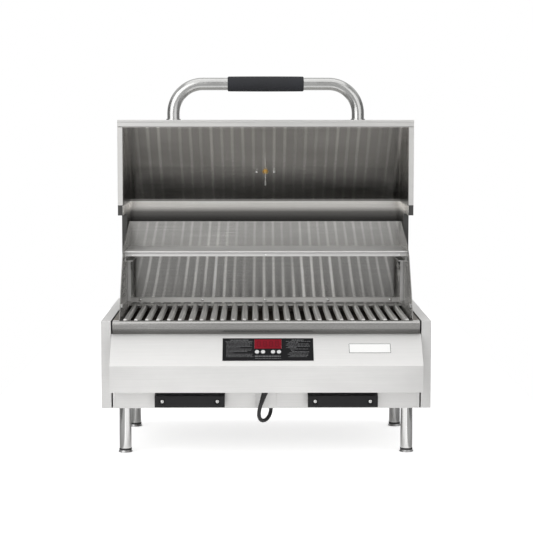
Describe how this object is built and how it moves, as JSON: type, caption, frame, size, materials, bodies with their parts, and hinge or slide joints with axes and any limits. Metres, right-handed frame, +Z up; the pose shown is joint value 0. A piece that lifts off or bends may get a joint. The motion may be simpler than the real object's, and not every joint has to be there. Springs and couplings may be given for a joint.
{
  "type": "electric table grill",
  "caption": "Table-top electric grill with a hinged double-walled lid, warming shelf, bar grates over a tube element, sloped control panel and pull-out drip trays.",
  "frame": {"origin": "on the table under the middle of the bounding box", "axes": "+X to the right seen from the front, +Y to the back, +Z up"},
  "size_m": [0.813, 0.593, 0.9463],
  "materials": {
    "outer_steel": "brushed stainless steel sheet",
    "inner_steel": "bright, mirror-like stainless steel sheet",
    "handle_steel": "satin stainless tube",
    "grate_steel": "stainless grate bars",
    "fastener_steel": "plain steel fasteners",
    "element_metal": "dark sheathed element tube",
    "foot_rubber": "grey rubber",
    "grip_foam": "fine-grained dark grip",
    "black_plastic": "matt black moulding",
    "lead_rubber": "black rubber",
    "fascia_black": "black polyester label",
    "display_red": "dark red display filter",
    "button_silver": "silver button caps",
    "badge_white": "bare white plate",
    "board_green": "circuit board",
    "brass": "plain brass",
    "dial_white": "white dial face",
    "pointer_red": "red pointer",
    "gauge_lens": "clear gauge lens"
  },
  "bodies": {
    "base": {"casing_side_left": "outer_steel", "casing_side_right": "outer_steel", "casing_back": "outer_steel", "front_panel": "outer_steel", "legs": "outer_steel", "rear_deck": "outer_steel", "front_bullnose": "outer_steel", "control_housing": "outer_steel", "casing_floor": "inner_steel", "firebox": "inner_steel", "cheek_left": "inner_steel", "cheek_right": "inner_steel", "rear_wall": "inner_steel", "warming_shelf": "inner_steel", "shelf_brackets": "inner_steel", "rear_rail": "inner_steel", "grate_left": "grate_steel", "grate_center": "grate_steel", "grate_right": "grate_steel", "leg_bolts": "fastener_steel", "cheek_bolts": "fastener_steel", "shelf_rivets": "fastener_steel", "hinge_pins": "fastener_steel", "lid_stop_pins": "fastener_steel", "tray_runners": "fastener_steel", "element_supports": "fastener_steel", "temperature_probe": "fastener_steel", "heating_element": "element_metal", "foot_pads": "foot_rubber", "terminal_block": "black_plastic", "lead_boot": "lead_rubber", "control_lead": "lead_rubber", "cord_glands": "lead_rubber", "control_fascia": "fascia_black", "display_window": "display_red", "badge_plate": "badge_white", "control_board": "board_green"},
    "lid": {"lid_skin": "outer_steel", "lid_liner": "inner_steel", "lid_handle": "handle_steel", "handle_rings": "handle_steel", "lid_grip": "grip_foam", "thermometer_case": "fastener_steel", "thermometer_dial": "dial_white", "thermometer_lens": "gauge_lens", "stem_nuts": "brass", "hinge_bushings": "brass"},
    "pointer": {"thermometer_pointer": "pointer_red"},
    "tray_left": {"drip_tray_left": "inner_steel", "tray_front_left": "outer_steel", "tray_handle_left": "black_plastic", "tray_screws_left": "fastener_steel"},
    "tray_right": {"drip_tray_right": "inner_steel", "tray_front_right": "outer_steel", "tray_handle_right": "black_plastic", "tray_screws_right": "fastener_steel"},
    "button_1_body": {"button_1": "button_silver"},
    "button_2_body": {"button_2": "button_silver"},
    "button_3_body": {"button_3": "button_silver"},
    "button_4_body": {"button_4": "button_silver"}
  },
  "joints": [
    {"name": "lid_hinge", "type": "hinge", "parent": "base", "child": "lid", "pos_m": [0, 0.1005, 0.49], "axis": [1, 0, 0], "range_deg": [0, 90]},
    {"name": "pointer_turn", "type": "hinge", "parent": "lid", "child": "pointer", "pos_m": [0, 0.11116, 0.71096], "axis": [0, 0.6255, 0.7802], "range_deg": [-260, 0], "stiffness_Nm_per_rad": 0.0001},
    {"name": "tray_left_slide", "type": "slide", "parent": "base", "child": "tray_left", "axis": [0, -1, 0], "range_m": [0, 0.27]},
    {"name": "tray_right_slide", "type": "slide", "parent": "base", "child": "tray_right", "axis": [0, -1, 0], "range_m": [0, 0.27]},
    {"name": "button_1_press", "type": "slide", "parent": "base", "child": "button_1_body", "axis": [0, 0.7071, -0.7071], "range_m": [0, 0.0012], "stiffness_N_per_m": 500, "springref_m": -0.0004},
    {"name": "button_2_press", "type": "slide", "parent": "base", "child": "button_2_body", "axis": [0, 0.7071, -0.7071], "range_m": [0, 0.0012], "stiffness_N_per_m": 500, "springref_m": -0.0004},
    {"name": "button_3_press", "type": "slide", "parent": "base", "child": "button_3_body", "axis": [0, 0.7071, -0.7071], "range_m": [0, 0.0012], "stiffness_N_per_m": 500, "springref_m": -0.0004},
    {"name": "button_4_press", "type": "slide", "parent": "base", "child": "button_4_body", "axis": [0, 0.7071, -0.7071], "range_m": [0, 0.0012], "stiffness_N_per_m": 500, "springref_m": -0.0004}
  ]
}
